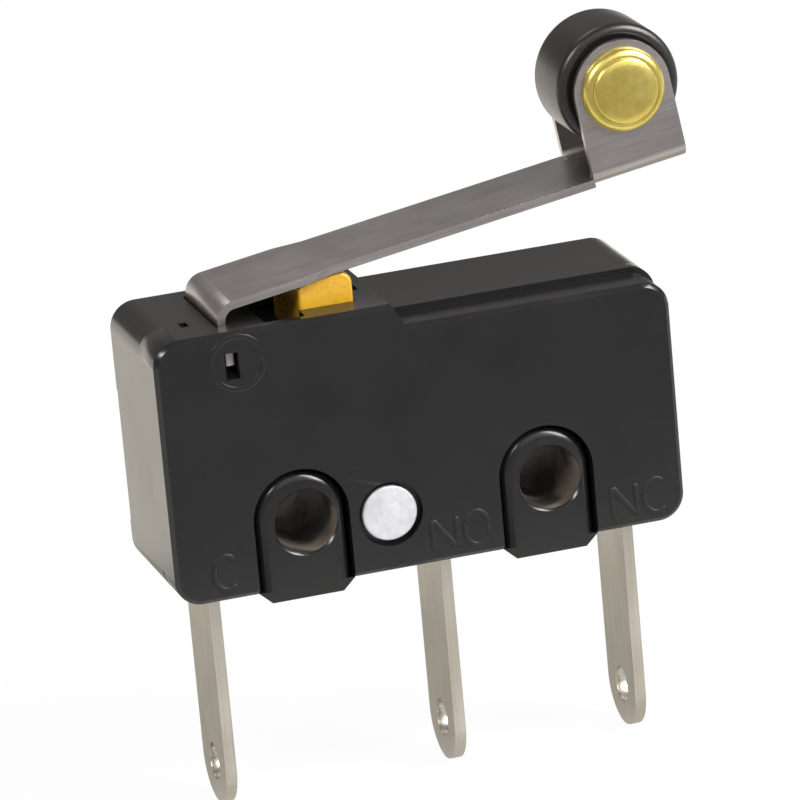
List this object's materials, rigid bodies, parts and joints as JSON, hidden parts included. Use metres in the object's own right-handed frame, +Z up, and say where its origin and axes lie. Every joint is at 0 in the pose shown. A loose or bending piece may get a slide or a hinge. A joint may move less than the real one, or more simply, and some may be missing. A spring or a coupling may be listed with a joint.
{
  "type": "lever micro switch",
  "caption": "Subminiature snap-action switch with a roller lever, two mounting holes and a row of solder terminals.",
  "frame": {"origin": "midway between the two mounting holes, at half the housing's depth", "axes": "+X along the housing from the lever's pivot towards the roller, +Y from the front cover to the rear case, +Z up towards the plunger"},
  "size_m": [0.0214, 0.0064, 0.0277],
  "materials": {
    "black_thermoplastic": "moulded, fine satin",
    "roller_plastic": "turned, satin",
    "amber_plastic": "moulded, glossy",
    "spring_steel_strip": "rolled and stamped, light sheen",
    "brass_pin": "headed, polished",
    "nickel_rivet": "nickel plated",
    "plated_terminal": "tin plated brass, dull",
    "copper_alloy_strip": "rolled copper alloy",
    "silver_contact": "silver alloy, dull",
    "spring_wire": "drawn wire"
  },
  "bodies": {
    "housing": {"rear_case": "black_thermoplastic", "front_cover": "black_thermoplastic", "case_rivet": "nickel_rivet", "common_terminal": "plated_terminal", "normally_open_terminal": "plated_terminal", "normally_closed_terminal": "plated_terminal", "normally_open_contact": "silver_contact", "normally_closed_contact": "silver_contact"},
    "roller_lever": {"lever": "spring_steel_strip", "roller_pin": "brass_pin"},
    "lever_roller": {"roller": "roller_plastic"},
    "push_button": {"plunger": "amber_plastic"},
    "trip_blade": {"trip_lever": "copper_alloy_strip"},
    "moving_arm": {"contact_arm": "copper_alloy_strip", "moving_contact": "silver_contact"},
    "coil_spring": {"snap_spring": "spring_wire"}
  },
  "joints": [
    {"name": "lever_hinge", "type": "hinge", "parent": "housing", "child": "roller_lever", "pos_m": [-0.00697, 0, 0.00662], "axis": [0, 1, 0], "range_deg": [0, 9], "stiffness_Nm_per_rad": 0.01, "springref_deg": -17.19},
    {"name": "roller_spin", "type": "hinge", "parent": "roller_lever", "child": "lever_roller", "pos_m": [0.00916, 0, 0.01398], "axis": [0, 1, 0], "continuous": true},
    {"name": "plunger_slide", "type": "slide", "parent": "housing", "child": "push_button", "axis": [0, 0, -1], "range_m": [0, 0.00076]},
    {"name": "trip_hinge", "type": "hinge", "parent": "housing", "child": "trip_blade", "pos_m": [-0.00815, 0, 0.0039], "axis": [0, 1, 0], "range_deg": [0, 7.4]},
    {"name": "arm_hinge", "type": "hinge", "parent": "housing", "child": "moving_arm", "pos_m": [-0.00815, 0, 0.00464], "axis": [0, 1, 0], "range_deg": [0, 2.3]},
    {"name": "spring_hinge", "type": "hinge", "parent": "moving_arm", "child": "coil_spring", "pos_m": [0.0039, 0, 0.00464], "axis": [0, 1, 0], "range_deg": [-10.2, 0]}
  ],
  "couplings": [
    {"joint": "plunger_slide", "follows": "lever_hinge", "m_per_rad": 0.004736},
    {"joint": "trip_hinge", "follows": "lever_hinge", "ratio": 0.8111},
    {"joint": "arm_hinge", "follows": "lever_hinge", "ratio": 0.2444},
    {"joint": "spring_hinge", "follows": "lever_hinge", "ratio": -1.1133}
  ]
}
